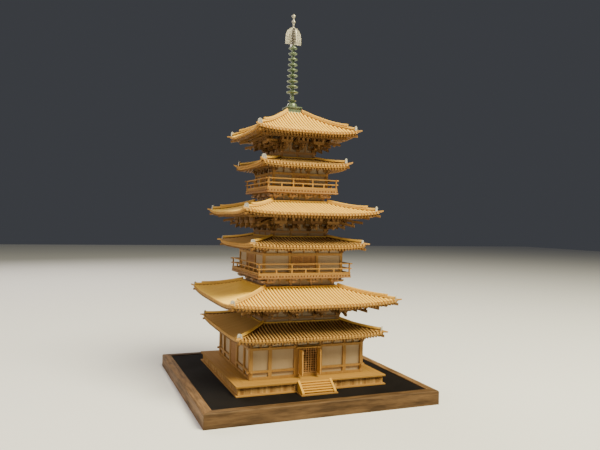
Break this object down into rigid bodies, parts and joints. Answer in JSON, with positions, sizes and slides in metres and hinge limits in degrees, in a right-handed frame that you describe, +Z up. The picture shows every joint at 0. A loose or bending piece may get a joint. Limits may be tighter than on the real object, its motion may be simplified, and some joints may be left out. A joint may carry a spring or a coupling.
{
  "type": "wooden scale model pagoda",
  "caption": "Wooden display model of a square multi-storey pagoda with pent roofs, railed balconies and a ringed metal spire, on a framed black stand.",
  "frame": {"origin": "centre of the stand's underside", "axes": "+Z up along the spire, -Y towards the front with the steps and the open doors, +X to the right seen from the front"},
  "size_m": [0.205, 0.205, 0.3537],
  "materials": {
    "stained_stand_wood": "dark walnut stain, open grain, satin",
    "black_panel": "matte black paint on board",
    "cypress": "bare pale honey cypress, fine straight grain",
    "shaded_cypress": "bare darker cypress boards",
    "amber_cypress": "bare amber cypress with browned laser-cut edges",
    "white_board": "off-white painted board",
    "green_patina": "dull green patina on cast metal",
    "pale_metal": "pale cast metal, satin"
  },
  "bodies": {
    "root_body": {"bracket_sets_1": "amber_cypress", "bracket_sets_2": "amber_cypress", "bracket_sets_3": "amber_cypress", "closed_doors_back": "shaded_cypress", "closed_doors_left": "shaded_cypress", "closed_doors_right": "shaded_cypress", "doorway_lattice": "shaded_cypress", "front_steps": "cypress", "ground_frame_back": "cypress", "ground_frame_front": "cypress", "ground_frame_left": "cypress", "ground_frame_right": "cypress", "main_roof_1": "cypress", "main_roof_2": "cypress", "main_roof_3": "cypress", "pent_roof_1": "cypress", "pent_roof_2": "cypress", "pent_roof_3": "cypress", "podium_body": "shaded_cypress", "podium_deck": "cypress", "podium_plinth": "cypress", "spire_base": "green_patina", "spire_bowl_and_lotus": "green_patina", "spire_flame": "pale_metal", "spire_jewels": "pale_metal", "spire_nine_rings": "green_patina", "stand_frame_back": "stained_stand_wood", "stand_frame_front": "stained_stand_wood", "stand_frame_left": "stained_stand_wood", "stand_frame_right": "stained_stand_wood", "stand_panel": "black_panel", "storey_2_balcony_brackets": "amber_cypress", "storey_2_floor": "cypress", "storey_2_railing": "cypress", "storey_2_wall_boards": "white_board", "storey_2_wall_frame": "cypress", "storey_3_balcony_brackets": "amber_cypress", "storey_3_floor": "cypress", "storey_3_railing": "cypress", "storey_3_wall_boards": "white_board", "storey_3_wall_frame": "cypress", "tower_wall_1": "shaded_cypress", "tower_wall_2": "shaded_cypress", "tower_wall_3": "shaded_cypress", "wall_board_over_door": "white_board", "wall_boards_back": "white_board", "wall_boards_front_left": "white_board", "wall_boards_front_right": "white_board", "wall_boards_left": "white_board", "wall_boards_right": "white_board"},
    "front_door_left": {"front_door_left_leaf": "shaded_cypress"},
    "front_door_right": {"front_door_right_leaf": "shaded_cypress"}
  },
  "joints": [
    {"name": "front_door_left_hinge", "type": "hinge", "parent": "root_body", "child": "front_door_left", "pos_m": [-0.0089, -0.0534, 0.0335], "axis": [0, 0, 1], "range_deg": [0, 90]},
    {"name": "front_door_right_hinge", "type": "hinge", "parent": "root_body", "child": "front_door_right", "pos_m": [0.0089, -0.0534, 0.0335], "axis": [0, 0, -1], "range_deg": [0, 90]}
  ]
}
